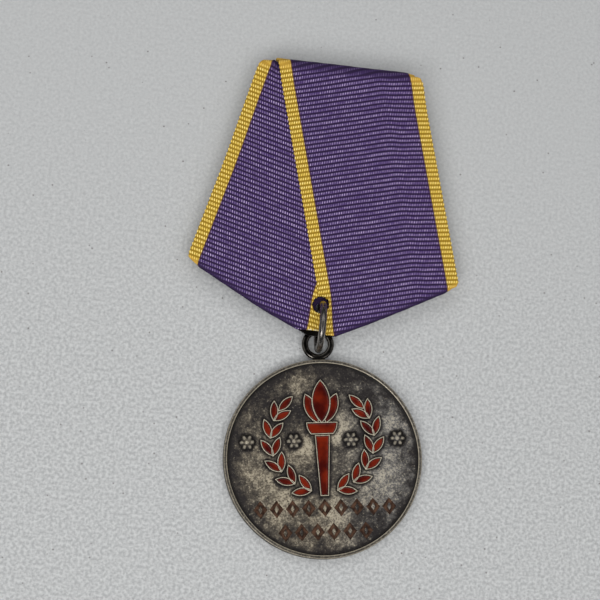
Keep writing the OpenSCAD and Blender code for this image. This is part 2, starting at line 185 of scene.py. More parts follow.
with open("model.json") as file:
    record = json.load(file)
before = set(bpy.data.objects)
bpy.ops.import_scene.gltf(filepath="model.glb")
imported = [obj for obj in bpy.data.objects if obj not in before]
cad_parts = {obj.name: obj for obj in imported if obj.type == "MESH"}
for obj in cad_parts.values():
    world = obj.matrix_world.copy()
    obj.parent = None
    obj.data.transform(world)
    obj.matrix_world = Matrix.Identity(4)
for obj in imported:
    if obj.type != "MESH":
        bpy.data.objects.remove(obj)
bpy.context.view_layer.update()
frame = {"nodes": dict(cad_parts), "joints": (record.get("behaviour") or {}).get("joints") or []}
joints = {joint["name"]: joint for joint in frame["joints"]}


# ---------- frames ----------


def mount_frame():
    """From the mount's own millimetres to the scene, by its ring's hole and the plate's normal."""
    normal = Vector(joints["ring_swing"]["axis"])
    up = Vector((0, normal.z, -normal.y))
    axes = Matrix((Vector((1, 0, 0)), up, normal)).transposed().to_4x4()
    hole = Vector(joints["ring_swing"]["pos_m"])
    origin = hole - (up * HOLE_UP + normal * MOUNT_T / 2) * MM
    return Matrix.Translation(origin) @ axes @ Matrix.Scale(MM, 4)


def medal_frame():
    """From the medal's own millimetres to the scene, as its loop hangs on the ring."""
    drop = Vector((0, -math.sin(LOOP_SEAT), -math.cos(LOOP_SEAT)))
    seat = Vector(joints["medal_swing"]["pos_m"]) + (drop * SEAT_R - Vector((LOOP_SIDE, 0, 0))) * MM
    turned = Matrix.Rotation(MEDAL_TURN, 4, "Z") @ Matrix.Rotation(MEDAL_LEAN, 4, "X")
    to_loop = Matrix.Translation((0, -LOOP_TOP_Y, -MEDAL_T / 2))
    return Matrix.Translation(seat) @ turned @ Matrix.Scale(MM, 4) @ to_loop


MOUNT = mount_frame()
MEDAL = medal_frame()


# ---------- nodes and colours ----------


# What a node does unless its call says otherwise; a Mix of colours gives them at its third output
USUAL = {
    "Math": {"operation": "MULTIPLY"},
    "MapRange": {"interpolation_type": "SMOOTHSTEP"},
    "Mix": {"data_type": "RGBA", "output": 2},
}


def srgb(code):
    """A colour as shaders take it, from a hex code."""
    levels = [int(code[i : i + 2], 16) / 255 for i in (0, 2, 4)]
    linear = [c / 12.92 if c <= 0.04045 else ((c + 0.055) / 1.055) ** 2.4 for c in levels]
    return (*linear, 1)


def add(tree, kind, inputs=(), **settings):
    """Adds a shader node and gives its output.

    Inputs come in the node's own order or by key; each is a value, or the output that feeds it."""
    settings = {"output": 0, **USUAL.get(kind, {}), **settings}
    output = settings.pop("output")
    made = tree.nodes.new("ShaderNode" + kind)
    for name, value in settings.items():
        setattr(made, name, value)
    for key, value in inputs.items() if isinstance(inputs, dict) else enumerate(inputs):
        if isinstance(value, bpy.types.NodeSocket):
            tree.links.new(value, made.inputs[key])
        else:
            made.inputs[key].default_value = value
    return made.outputs[output]


def new_material(name, **constants):
    """A material with its node tree and its main shader, whose plain values are set on its own sockets."""
    made = bpy.data.materials.new(name)
    made.use_nodes = True
    shader = made.node_tree.nodes["Principled BSDF"]
    for key, value in constants.items():
        shader.inputs[key.replace("_", " ")].default_value = value
    return made, made.node_tree, shader


def wave(tree, value, period):
    """A cosine of a value, from -1 to 1, that repeats with the period."""
    turned = add(tree, "Math", (value, math.tau / period))
    return add(tree, "Math", (turned,), operation="COSINE")


# ---------- materials ----------


def ribbon_cloth():
    """Woven ribbon: violet ribs whose floats catch the light, and a yellow stripe along each selvedge.

    Its weave holds the distances across and along the ribbon, and a value for painted shade: up to 1 on the
    folds, where the ribs are painted darker and lose their painted highlights, 2 for deeper painted shade
    round the back run's hole, and down to -1 at the frayed end."""
    made, tree, shader = new_material("ribbon_cloth", Roughness=0.85, Specular_IOR_Level=0.25)
    weave = add(tree, "Attribute", output="Vector", attribute_name="weave")
    across, along, shade_and_fray = add(tree, "SeparateXYZ", (weave,)).node.outputs
    # Painted shade on the folds and round the back run's hole darkens the ribs and takes away their painted
    # highlights
    shown = add(tree, "Math", (1.0, shade_and_fray), operation="SUBTRACT")

    # The ribs, the slanted floats on them, and the stripes' single yarns
    crown = add(tree, "MapRange", (wave(tree, along, RIB_PITCH), 0.7, -0.7))
    slanted = add(tree, "Math", (along, 0.35, across), operation="MULTIPLY_ADD")
    dash = add(tree, "MapRange", (wave(tree, slanted, FLOAT_PITCH), 0.0, 0.95))
    yarn = wave(tree, slanted, STRIPE_W / STRIPE_YARNS)

    # The light is uneven over the cloth, and from one yarn to the next
    wide = add(tree, "Mapping", {0: weave, 3: (0.25, 1.8, 0)})
    uneven = add(tree, "TexNoise", {"Vector": wide, "Scale": 1.0, "Detail": 4.0, "Roughness": 0.6})
    narrow = add(tree, "Mapping", {0: weave, 3: (2.6, 1.3, 0)})
    single = add(tree, "TexNoise", {"Vector": narrow, "Scale": 1.0, "Detail": 1.0})
    by_place = add(tree, "MapRange", (uneven, 0.3, 0.7, 0.3, 1.2))
    by_yarn = add(tree, "MapRange", (single, 0.35, 0.65, 0.45, 1.1))
    lit = add(tree, "Math", (by_place, by_yarn))

    # Violet ribs: painted shade in the grooves and on the folds, and a painted highlight on the floats
    on_rib = add(tree, "MapRange", (crown, 0.0, 0.6))
    on_rib = add(tree, "Math", (on_rib, add(tree, "MapRange", (shown, -0.5, 1.0))))
    ground = add(tree, "Mix", {0: on_rib, 6: srgb("2b1e3b"), 7: srgb("422d62")})
    float_highlight = add(tree, "MapRange", (crown, 0.15, 0.75))
    for share in (dash, lit, shown):
        float_highlight = add(tree, "Math", (float_highlight, share))
    violet = add(tree, "Mix", {0: float_highlight, 6: ground, 7: srgb("c3b0d3")})

    # Yellow stripes: beads of yarn with painted shade between them and a painted highlight on their tops, one
    # flat painted tone on the folds, and pale threads at the frayed end
    bead = add(tree, "Math", (crown, add(tree, "MapRange", (yarn, -0.85, 0.7))))
    on_bead = add(tree, "MapRange", (bead, 0.0, 0.4))
    yellow = add(tree, "Mix", {0: on_bead, 6: srgb("957622"), 7: srgb("e2bd47")})
    bead_highlight = add(tree, "Math", (add(tree, "MapRange", (bead, 0.3, 0.9)), lit))
    painted_fold = add(tree, "Math", (shade_and_fray, 0.8))
    cut_end = add(tree, "MapRange", (shade_and_fray, -0.3, -0.9))
    cut_end = add(tree, "Math", (cut_end, add(tree, "MapRange", (single, 0.35, 0.6))))
    for share, colour in ((bead_highlight, "ffe692"), (painted_fold, "cda245"), (cut_end, "e6d8b0")):
        yellow = add(tree, "Mix", {0: share, 6: yellow, 7: srgb(colour)})

    # The stripes run along both selvedges, with a dark seam beside them
    from_other = add(tree, "Math", (RIBBON_W, across), operation="SUBTRACT")
    edge = add(tree, "Math", (across, from_other), operation="MINIMUM")
    in_stripe = add(tree, "MapRange", (edge, STRIPE_W + 0.08, STRIPE_W - 0.02))
    cloth = add(tree, "Mix", {0: in_stripe, 6: violet, 7: yellow})
    seam = add(tree, "MapRange", (edge, STRIPE_W - 0.1, STRIPE_W + 0.02))
    seam = add(tree, "Math", (seam, add(tree, "MapRange", (edge, STRIPE_W + 0.4, STRIPE_W + 0.1))))
    seam = add(tree, "Math", (seam, 0.6))
    cloth = add(tree, "Mix", {0: seam, 6: cloth, 7: srgb("3a1c2a")})
    tree.links.new(cloth, shader.inputs["Base Color"])

    raised = add(tree, "Math", (dash, crown))
    raised = add(tree, "Math", (raised, 0.5, crown), operation="MULTIPLY_ADD")
    bump = add(tree, "Bump", {"Height": raised, "Distance": 0.05 * MM, "Strength": 0.7})
    tree.links.new(bump, shader.inputs["Normal"])
    return made


def patinated_silver():
    """Oxidised silver: dark and grainy in the field, rubbed bright on the raised edges.

    A vector on its points holds how light the silver is, with painted reflection and painted shade in that
    tone, how far it is worn, and how dark its corners are from dirt and painted shade."""
    made, tree, shader = new_material("patinated_silver", Metallic=0.5)
    place = add(tree, "Attribute", output="Vector", attribute_name="place")
    finish = add(tree, "Attribute", output="Vector", attribute_name="finish")
    tone, worn, dirt_and_shade = add(tree, "SeparateXYZ", (finish,)).node.outputs
    cloudy = add(tree, "TexNoise", {"Vector": place, "Scale": 0.4, "Detail": 5.0, "Roughness": 0.65})
    patchy = add(tree, "TexNoise", {"Vector": place, "Scale": 1.0, "Detail": 3.0, "Roughness": 0.6})
    grain = add(tree, "TexNoise", {"Vector": place, "Scale": 3.4, "Detail": 2.0, "Roughness": 0.7})

    # The field is dark, and lighter in clouds that are cooler towards its right side; its tone holds painted
    # reflection and painted shade
    toned = add(tree, "Math", (cloudy, 0.9, tone), operation="MULTIPLY_ADD")
    toned = add(tree, "Math", (patchy, 0.6, toned), operation="MULTIPLY_ADD")
    level = add(tree, "MapRange", (toned, 0.76, 1.6))
    to_right = add(tree, "MapRange", (add(tree, "SeparateXYZ", (place,)), -2.0, 12.0))
    light = add(tree, "Mix", {0: to_right, 6: srgb("b3a68e"), 7: srgb("b4b0a9")})
    silver = add(tree, "Mix", {0: level, 6: srgb("312d2c"), 7: light})

    # Bright specks, partly painted glints, dark pits, and dirt with painted shade next to the relief and the
    # rim lie on it, and wear goes through them
    speckled = add(tree, "Math", (level, 0.3, grain), operation="MULTIPLY_ADD")
    specks = add(tree, "Math", (add(tree, "MapRange", (speckled, 0.6, 0.82)), 0.6))
    pits = add(tree, "Math", (add(tree, "MapRange", (grain, 0.48, 0.34)), 0.65))
    grime_and_shade = add(tree, "Math", (dirt_and_shade, 0.85))
    rubbed = add(tree, "Math", (grain, 0.5, worn), operation="MULTIPLY_ADD")
    rubbed = add(tree, "MapRange", (rubbed, 0.45, 1.2))
    for share, colour in ((specks, "d3c8ae"), (pits, "231f1d"), (grime_and_shade, "1b1817"), (rubbed, "d3c8b0")):
        silver = add(tree, "Mix", {0: share, 6: silver, 7: srgb(colour)})
    tree.links.new(silver, shader.inputs["Base Color"])
    rough = add(tree, "MapRange", (rubbed, 0.0, 1.0, 0.5, 0.28))
    tree.links.new(rough, shader.inputs["Roughness"])
    bump = add(tree, "Bump", {"Height": grain, "Distance": 0.06 * MM, "Strength": 0.6})
    tree.links.new(bump, shader.inputs["Normal"])
    return made


def fired_enamel(name, deep, light, scale, coat_rough):
    """Fired enamel: coloured glass under a gloss of its own, clouded from deep to light."""
    made, tree, shader = new_material(
        name, Roughness=0.4, Coat_Weight=0.5, Coat_Roughness=coat_rough, Specular_IOR_Level=0.08
    )
    place = add(tree, "Attribute", output="Vector", attribute_name="place")
    cloudy = add(tree, "TexNoise", {"Vector": place, "Scale": scale, "Detail": 2.0})
    cloudy = add(tree, "MapRange", (cloudy, 0.35, 0.68))
    glass = add(tree, "Mix", {0: cloudy, 6: srgb(deep), 7: srgb(light)})
    tree.links.new(glass, shader.inputs["Base Color"])
    wavy = add(tree, "TexNoise", {"Vector": place, "Scale": 1.1, "Detail": 2.0})
    bump = add(tree, "Bump", {"Height": wavy, "Distance": 0.03 * MM, "Strength": 0.3})
    tree.links.new(bump, shader.inputs["Coat Normal"])
    return made


def aged_metal(name, low, high, rough, grain_mm):
    """Worn metal: two tones and a roughness that change with a fine grain."""
    made, tree, shader = new_material(name, Metallic=1.0)
    place = add(tree, "TexCoord", output="Object")
    cloudy_scale = 0.35 / (grain_mm * MM)
    cloudy = add(tree, "TexNoise", {"Vector": place, "Scale": cloudy_scale, "Detail": 4.0, "Roughness": 0.6})
    cloudy = add(tree, "MapRange", (cloudy, 0.35, 0.65))
    metal = add(tree, "Mix", {0: cloudy, 6: srgb(low), 7: srgb(high)})
    tree.links.new(metal, shader.inputs["Base Color"])
    fine = add(tree, "TexNoise", {"Vector": place, "Scale": 1.2 / (grain_mm * MM), "Detail": 2.0})
    roughness = add(tree, "MapRange", (fine, 0.3, 0.7, rough, rough + 0.16))
    tree.links.new(roughness, shader.inputs["Roughness"])
    bump = add(tree, "Bump", {"Height": fine, "Distance": 0.02 * MM, "Strength": 0.35})
    tree.links.new(bump, shader.inputs["Normal"])
    return made


def table_top():
    """Pale laminate: pebbles of half a millimetre, plainer towards the back, and a few dark specks."""
    made, tree, shader = new_material("table_top", Roughness=0.5)
    place = add(tree, "TexCoord", output="Object")
    pebbled = add(tree, "TexNoise", {"Vector": place, "Scale": 1900.0, "Detail": 2.0, "Roughness": 0.6})
    depth = add(tree, "SeparateXYZ", (place,)).node.outputs[1]
    coarse = add(tree, "MapRange", (depth, 0.04, -0.03, 0.3, 1.0))
    centred = add(tree, "Math", (pebbled, 0.5), operation="SUBTRACT")
    relief = add(tree, "Math", (centred, coarse, 0.5), operation="MULTIPLY_ADD")
    raised = add(tree, "MapRange", (relief, 0.3, 0.7))
    laminate = add(tree, "Mix", {0: raised, 6: srgb("a4a5a4"), 7: srgb("c5c6c4")})
    cells = add(tree, "TexVoronoi", {"Vector": place, "Scale": 360.0, "Randomness": 1.0})
    specks = add(tree, "Math", (add(tree, "MapRange", (cells, 0.075, 0.035)), 0.8))
    laminate = add(tree, "Mix", {0: specks, 6: laminate, 7: srgb("6d6866")})
    tree.links.new(laminate, shader.inputs["Base Color"])
    bump = add(tree, "Bump", {"Height": relief, "Distance": 0.2 * MM, "Strength": 0.8})
    tree.links.new(bump, shader.inputs["Normal"])
    return made


# ---------- meshes ----------


def grid_faces(rows, cols, closed=False):
    """The faces of a grid of points, row after row; a closed grid joins its last column to its first."""
    made = []
    for row in range(rows - 1):
        here = row * cols
        above = here + cols
        for col in range(cols if closed else cols - 1):
            right = (col + 1) % cols
            made.append((here + col, here + right, above + right, above + col))
    return made


def ring_faces(steps, corners):
    """The faces of a strip of sections that closes on itself."""
    made = []
    for step in range(steps):
        here = step * corners
        after = (step + 1) % steps * corners
        for i in range(corners - 1):
            made.append((after + i, after + i + 1, here + i + 1, here + i))
    return made


def new_piece(name, points, faces, placing, **attributes):
    """A smooth mesh object from points in millimetres, with vectors stored on its points."""
    mesh = bpy.data.meshes.new(name)
    placed = np.asarray(points) @ np.array(placing.to_3x3()).T + np.array(placing.translation)
    mesh.from_pydata(placed.tolist(), [], faces)
    for key, values in attributes.items():
        layer = mesh.attributes.new(key, "FLOAT_VECTOR", "POINT")
        layer.data.foreach_set("vector", np.asarray(values, dtype=np.float32).ravel())
    mesh.shade_smooth()
    made = bpy.data.objects.new(name, mesh)
    bpy.context.collection.objects.link(made)
    return made


def thicken(piece, depth):
    """Gives a sheet its thickness, below its face."""
    solid = piece.modifiers.new("thickness", "SOLIDIFY")
    solid.thickness = depth * MM
    solid.offset = -1


def rumple(points, size, seed):
    """Smooth noise from -1 to 1 at each point, with waves of about one size."""
    shift = Vector((seed * 17.3, seed * 5.1, seed))
    return np.array([noise.noise(Vector((x, y, 0)) / size + shift) for x, y in points[:, :2]])


def smooth_step(value, low, high):
    """A soft step from 0 at low to 1 at high."""
    part = np.clip((value - low) / (high - low), 0, 1)
    return part * part * (3 - 2 * part)


def nearest(points, targets):
    """How far each point lies from the nearest target, seen from above."""
    tree = kdtree.KDTree(len(targets))
    for i, (x, y) in enumerate(targets):
        tree.insert((x, y, 0), i)
    tree.balance()
    return np.array([tree.find((x, y, 0))[2] for x, y in points[:, :2]])


# ---------- ribbon ----------


def wrap(past, radius, arc_r):
    """Turns cloth that runs past a fold's axis round it: its place past the axis, and its height over it."""
    turn = np.clip(past / arc_r, 0, math.pi)
    beyond = np.maximum(past - math.pi * arc_r, 0)
    place = np.where(past < 0, past, radius * np.sin(turn) - beyond)
    return place, radius * np.cos(turn)


def ribbon_columns():
    """Distances from the outer selvedge: close together in the stripes, wider between them."""
    stripe = np.linspace(0, STRIPE_W, STRIPE_YARNS * YARN_COLS + 1)
    body_cols = round((RIBBON_W - 2 * STRIPE_W) / BODY_COL)
    body = np.linspace(STRIPE_W, RIBBON_W - STRIPE_W, body_cols + 1)
    return np.concatenate([stripe[:-1], body, RIBBON_W - stripe[-2::-1]])


def rib_depth(across, along):
    """How deep the cloth lies below its crowns, between its ribs and between the stripes' yarns."""
    groove = 1 - np.abs(np.sin(math.pi * along / RIB_PITCH)) ** 0.7
    edge = np.minimum(across, RIBBON_W - across)
    yarn = np.abs(np.cos(math.pi * across * STRIPE_YARNS / STRIPE_W)) ** 3
    return np.where(edge < STRIPE_W, RIB_DEPTH * groove + YARN_DEPTH * yarn, RIB_DEPTH * groove)


def cut_hole(bm, x, y, radius):
    """Cuts the ring's hole, in the mount's own millimetres, with its edge drawn onto the circle."""
    centre = Vector((x, y))
    away = {v: (v.co.xy - centre) for v in bm.verts}
    inside = [f for f in bm.faces if all(away[v].length < radius for v in f.verts)]
    bmesh.ops.delete(bm, geom=inside, context="FACES")
    for v in bm.verts:
        if away[v].length < radius:
            v.co.xy = centre + away[v].normalized() * radius


def trim(piece, tip_y, hole):
    """Joins doubled points, cuts the blunt tip and the hole, and then places the cloth in the scene."""
    bm = bmesh.new()
    bm.from_mesh(piece.data)
    bmesh.ops.remove_doubles(bm, verts=bm.verts, dist=0.002)
    everything = bm.verts[:] + bm.edges[:] + bm.faces[:]
    bmesh.ops.bisect_plane(
        bm, geom=everything, plane_co=(0, tip_y, 0), plane_no=(0, -1, 0), clear_outer=True
    )
    cut_hole(bm, *hole)
    loose = [v for v in bm.verts if not v.link_faces]
    bmesh.ops.delete(bm, geom=loose, context="VERTS")
    bm.transform(MOUNT)
    bm.to_mesh(piece.data)
    bm.free()
    piece.data.shade_smooth()


def ribbon_run(name, side, over):
    """One run of ribbon: down the front, and round the former at its top and lower edges.

    side is 1 for the right run and -1 for the left one; over tells that it lies on the other run."""
    cols = ribbon_columns()
    row_count = (LAST_RIB - FIRST_RIB) * ROWS_PER_RIB + 1
    rows = np.linspace(FIRST_RIB * RIB_PITCH, LAST_RIB * RIB_PITCH, row_count)
    across, along = np.meshgrid(cols, rows)
    across, along = across.ravel(), along.ravel()
    sin_l, cos_l = math.sin(SIDE_LEAN), math.cos(SIDE_LEAN)
    sin_r, cos_r = math.sin(LOWER_RISE), math.cos(LOWER_RISE)

    # The weft of the upper run is pulled askew next to its outer selvedge
    askew = np.maximum(SKEW_W - across, 0)
    skew = -SKEW * askew * smooth_step(askew, 0, 3) if over else 0
    wavy = WAVINESS * rumple(np.stack([across, along], 1), 5.0, 2 + side)

    # The run ends behind the lower fold and in its hem behind the top fold
    lower_past = (TOP_W / 2 - across * cos_l) * sin_r - (MOUNT_H - across * sin_l) * cos_r
    reach = cos_l * cos_r + sin_l * sin_r
    arc_r = FOLD_R - CLOTH_T / 2
    top_arc_r = (OVER_FOLD_R if over else FOLD_R) - CLOTH_T / 2
    lowest = (lower_past + FOLD_R - math.pi * arc_r) / reach
    highest = (math.pi * top_arc_r + HEM - OVER_FOLD_R + across * sin_l) / cos_l
    placed = np.clip(along + skew + wavy, lowest, highest)

    # Places in the mount's plane, before the cloth is folded
    x = TOP_W / 2 - across * cos_l - placed * sin_l
    y = MOUNT_H - across * sin_l + placed * cos_l
    top_past = y - (MOUNT_H - OVER_FOLD_R)
    low_past = x * sin_r - y * cos_r + FOLD_R

    # The runs are drawn in towards the tip, next to their inner selvedges
    drawn = (OVER_DRAWN_IN if over else DRAWN_IN) * smooth_step(y, DRAWN_UP, TIP_CUT)
    x = x - drawn * smooth_step(across, RIBBON_W / 2, RIBBON_W)

    # The lower run stands wide at its free top corner
    if not over:
        x = x + TOP_SPREAD * smooth_step(y, MOUNT_H - SPREAD_H, MOUNT_H)

    # The corners are rounded, and the selvedges scalloped by the ribs
    into_corner = np.clip(np.maximum(top_past, low_past) / CORNER_R + 0.4, 0, 1)
    rounding = CORNER_R * (1 - np.sqrt(1 - into_corner**2))
    scallop = SCALLOP * (0.5 + 0.5 * np.cos(math.tau * along / RIB_PITCH))
    inward = (rounding + scallop) * np.clip(1 - across / 2.5, 0, 1)
    inward -= scallop * np.clip(1 - (RIBBON_W - across) / 0.6, 0, 1)
    x = x - inward * cos_l
    y = y - inward * sin_l

    # Height of the face over the folds' axes: the upper run drops past the lower one's selvedge
    puffed = 1.0 if over else smooth_step(across, 3.6, 2.4)
    lift = TOP_PUFF * puffed * smooth_step(top_past, -3.5, -0.5) * smooth_step(top_past, 3.0, 1.6)
    if over:
        past_other = (x - (RIBBON_W / cos_l - TOP_W / 2)) * cos_l + (MOUNT_H - y) * sin_l
        on_other = smooth_step(past_other, 3.2, 0.2)
        lift = lift + np.maximum(on_other, smooth_step(top_past, -6.0, -1.5)) * RIBBON_T
    slack = SLACK + SLACK * rumple(np.stack([x * side, y], 1), 6.0, 5 + side)
    radius = FOLD_R + lift - rib_depth(across, along) - slack

    top_place, top_height = wrap(top_past, radius, top_arc_r)
    low_place, low_height = wrap(low_past, radius, arc_r)
    y = y + top_place - top_past
    x = x + (low_place - low_past) * sin_r
    y = y - (low_place - low_past) * cos_r
    z = FOLD_Z + np.where(low_past > 0, low_height, top_height)

    # Painted shade lies on the weave where the cloth turns over at its folds, and the weave is pale and
    # frayed at its cut end
    tip_y = TIP_CUT if over else TIP_CUT + SHORT_END
    frayed = 0.0 if over else smooth_step(y - tip_y, 0.32, 0.1)
    shade_and_fray = np.maximum(0.8 * smooth_step(top_past, -1.2, 0.3), smooth_step(low_past, -0.4, 0.4))
    shade_and_fray = shade_and_fray * (1 - frayed) - frayed
    faces = grid_faces(len(rows), len(cols))
    if side > 0:
        faces = [face[::-1] for face in faces]
    weave = np.stack([across, along, shade_and_fray], 1)
    points = np.stack([x * side, y, z], 1)
    piece = new_piece(name, points, faces, Matrix.Identity(4), weave=weave)
    trim(piece, tip_y, HOLE)
    return piece


def ribbon_back(name):
    """The ribbon behind the former plate: its face looks down, and its hole is drawn close round the ring."""
    rows = np.arange(TIP_CUT + RIBBON_T, MOUNT_H - OVER_FOLD_R, RIB_PITCH / ROWS_PER_RIB)
    cols = np.linspace(-1, 1, BACK_COLS)
    share, y = np.meshgrid(cols, rows)
    share, y = share.ravel(), y.ravel()
    sin_l, cos_l = math.sin(SIDE_LEAN), math.cos(SIDE_LEAN)
    side_reach = TOP_W / 2 * cos_l + MOUNT_H * sin_l - RIBBON_T
    to_side = (side_reach - y * sin_l) / cos_l
    to_lower = (y * math.cos(LOWER_RISE) - FOLD_R) / math.sin(LOWER_RISE)
    x = share * np.minimum(to_side, to_lower)
    across = (to_side - np.abs(x)) * cos_l
    z = BACK_T + rib_depth(across, y) + 0.02
    # Deep painted shade lies on the cloth round its hole
    hole_shade = 2 * smooth_step(np.hypot(x - BACK_HOLE[0], y - BACK_HOLE[1]), 3.5, 2.0)
    weave = np.stack([np.minimum(across, RIBBON_W / 2), y, hole_shade], 1)
    faces = [face[::-1] for face in grid_faces(len(rows), len(cols))]
    piece = new_piece(name, np.stack([x, y, z], 1), faces, Matrix.Identity(4), weave=weave)
    trim(piece, TIP_CUT, BACK_HOLE)
    return piece


def dress_ribbon():
    """The three runs of cloth, each in place of its plain solid."""
    cloth = ribbon_cloth()
    runs = {
        "ribbon_left_run": ribbon_run("cloth_left", -1, over=False),
        "ribbon_right_run": ribbon_run("cloth_right", 1, over=True),
        "ribbon_back_run": ribbon_back("cloth_back"),
    }
    for node, piece in runs.items():
        piece.data.materials.append(cloth)
        thicken(piece, CLOTH_T)
        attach(piece, "mount")
        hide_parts(node)


# ---------- outlines ----------


def outlines(node, level):
    """The outlines of a CAD node's flat faces at one height, in the medal's own millimetres.

    Each outline keeps the faces on its left."""
    mesh = frame["nodes"][node].data
    to_medal = MEDAL.inverted()
    points = [to_medal @ v.co for v in mesh.vertices]
    keys = [(round(p.x, 3), round(p.y, 3)) for p in points]
    mesh.calc_loop_triangles()
    edges = set()
    for triangle in mesh.loop_triangles:
        corners = triangle.vertices
        if any(abs(points[i].z - level) > 0.01 for i in corners):
            continue
        a, b, c = (keys[i] for i in corners)
        if (b[0] - a[0]) * (c[1] - a[1]) < (b[1] - a[1]) * (c[0] - a[0]):
            b, c = c, b
        edges.update([(a, b), (b, c), (c, a)])
    following = {a: b for a, b in edges if (b, a) not in edges}
    made = []
    while following:
        start, point = following.popitem()
        loop = [start]
        while point != start:
            loop.append(point)
            point = following.pop(point)
        made.append(np.array(loop))
    return made


def refine(loop, longest):
    """An outline with its longer edges divided."""
    made = []
    for a, b in zip(loop, np.roll(loop, -1, axis=0)):
        steps = max(1, math.ceil(np.linalg.norm(b - a) / longest))
        made.extend(a + (b - a) * i / steps for i in range(steps))
    return np.array(made)


def outward(loop):
    """At each point of an outline, the mitred step that moves its edges out by 1."""
    before = loop - np.roll(loop, 1, axis=0)
    after = np.roll(loop, -1, axis=0) - loop
    normals = []
    for edge in (before, after):
        unit = edge / np.linalg.norm(edge, axis=1, keepdims=True)
        normals.append(np.stack([unit[:, 1], -unit[:, 0]], 1))
    total = normals[0] + normals[1]
    return 2 * total / np.sum(total**2, axis=1, keepdims=True).clip(0.8)


def circle(radius, count):
    """Points round a circle."""
    turn = np.arange(count) * math.tau / count
    return np.stack([radius * np.cos(turn), radius * np.sin(turn)], 1)


def signed_area(loop):
    """The area inside an outline; negative for a hole."""
    x, y = loop[:, 0], loop[:, 1]
    return 0.5 * np.sum(x * np.roll(y, -1) - np.roll(x, -1) * y)


def in_outlines(points, loops):
    """Which points lie inside an odd number of outlines."""
    odd = np.zeros(len(points), dtype=bool)
    for loop in loops:
        for (ax, ay), (bx, by) in zip(loop, np.roll(loop, -1, axis=0)):
            crosses = (ay > points[:, 1]) != (by > points[:, 1])
            at = ax + (points[:, 1] - ay) * (bx - ax) / (by - ay if by != ay else 1)
            odd ^= crosses & (points[:, 0] < at)
    return odd


def cell_groups(loops):
    """Each outer outline with the holes inside it."""
    holes = [loop for loop in loops if signed_area(loop) < 0]
    made = []
    for loop in loops:
        if signed_area(loop) > 0:
            inside = [hole for hole in holes if in_outlines(hole[:1], [loop])[0]]
            made.append([loop] + inside)
    return made


def fill_outlines(loops, spacing):
    """Triangles that fill the area between outlines, with points inside it a spacing apart."""
    ends = np.concatenate(loops)
    xs = np.arange(ends[:, 0].min(), ends[:, 0].max(), spacing)
    ys = np.arange(ends[:, 1].min(), ends[:, 1].max(), spacing * 0.866)
    grid_x, grid_y = np.meshgrid(xs, ys)
    grid_x = grid_x + (np.arange(len(ys)) % 2)[:, None] * spacing / 2
    inner = np.stack([grid_x.ravel(), grid_y.ravel()], 1)
    inner = inner[in_outlines(inner, loops)]
    inner = inner[nearest(inner, ends) >= spacing * 0.55]
    edges = []
    first = 0
    for loop in loops:
        edges += [(first + i, first + (i + 1) % len(loop)) for i in range(len(loop))]
        first += len(loop)
    corners = [Vector(p) for p in np.concatenate([ends, inner])]
    verts, _, faces, *_ = geometry.delaunay_2d_cdt(corners, edges, [], 1, 1e-5)
    points = np.array([(v.x, v.y) for v in verts])
    middles = np.array([points[list(face)].mean(axis=0) for face in faces])
    kept = in_outlines(middles, loops)
    return points, [face for face, keep in zip(faces, kept) if keep]


# ---------- medal ----------


def patina_and_painted_light(points, relief):
    """How light the silver is at each point, with broad clouds, patches of wear and painted reflection, and
    patina and painted shade next to the relief and the rim; and how dark the corners are, from dirt and
    painted shade.
    """
    near = nearest(points, relief)
    radius = np.hypot(points[:, 0], points[:, 1])
    light = 0.12 + 0.16 * rumple(points, 5.5, 3) + 0.14 * rumple(points, 2.2, 4)
    for x, y, size, gain in WORN_AND_LIT_PATCHES:
        light += gain * np.exp(-((points[:, 0] - x) ** 2 + (points[:, 1] - y) ** 2) / size**2)
    # Darker next to the relief and towards the rim: patina there, and painted shade
    halo = smooth_step(near, 0.1, 1.1)
    edge = smooth_step(MEDAL_R - radius, 0.8, 2.6)
    tone = np.clip(light * (0.3 + 0.7 * halo) * (0.4 + 0.6 * edge), 0, 1)
    # The corners at the relief and at the rim are darker still, from dirt and painted shade
    by_rim = smooth_step(np.abs(radius - FIELD_R), 0.55, 0.15)
    return tone, np.maximum(smooth_step(near, 0.8, 0.1), by_rim)


def silver_piece(name, points, faces, worn, relief, material):
    """A piece of the medal in patinated silver."""
    points = np.asarray(points, dtype=float)
    tone, dirt_and_shade = patina_and_painted_light(points, relief)
    finish = np.stack([tone, np.broadcast_to(worn, len(points)), dirt_and_shade], 1)
    piece = new_piece(name, points, faces, MEDAL, place=points, finish=finish)
    piece.data.materials.append(material)
    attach(piece, "medal")
    return piece


def medal_field(relief, channels, material):
    """The struck field: a little uneven, with walled channels for the border's enamel."""
    flat, faces = fill_outlines([circle(FIELD_R, RIM_STEPS)] + channels, FIELD_SPACING)
    radius = np.hypot(flat[:, 0], flat[:, 1])
    calm = smooth_step(FIELD_R - radius, 0, 1.5)
    uneven = calm * (0.022 * rumple(flat, 2.6, 1) + 0.012 * rumple(flat, 0.7, 2))
    points = np.column_stack([flat, FIELD_Z + uneven])
    field = silver_piece("medal_field", points, faces, 0.0, relief, material)

    # The channels' walls are made one by one, because an extrusion's faces come in no fixed order
    bm = bmesh.new()
    bm.from_mesh(field.data)
    to_medal = MEDAL.inverted()
    down = (MEDAL.to_3x3() @ Vector((0, 0, -1))) * CHANNEL_DEPTH
    lowered = {}
    for corner in [corner for face in bm.faces for corner in face.loops]:
        ends = (corner.vert, corner.link_loop_next.vert)
        middle = to_medal @ ((ends[0].co + ends[1].co) / 2)
        if corner.edge.is_boundary and middle.xy.length < FIELD_R - 0.5:
            for v in ends:
                if v not in lowered:
                    lowered[v] = bm.verts.new(v.co + down, v)
            bm.faces.new((ends[1], ends[0], lowered[ends[0]], lowered[ends[1]]))
    bm.normal_update()
    bm.to_mesh(field.data)
    bm.free()
    field.data.shade_smooth()


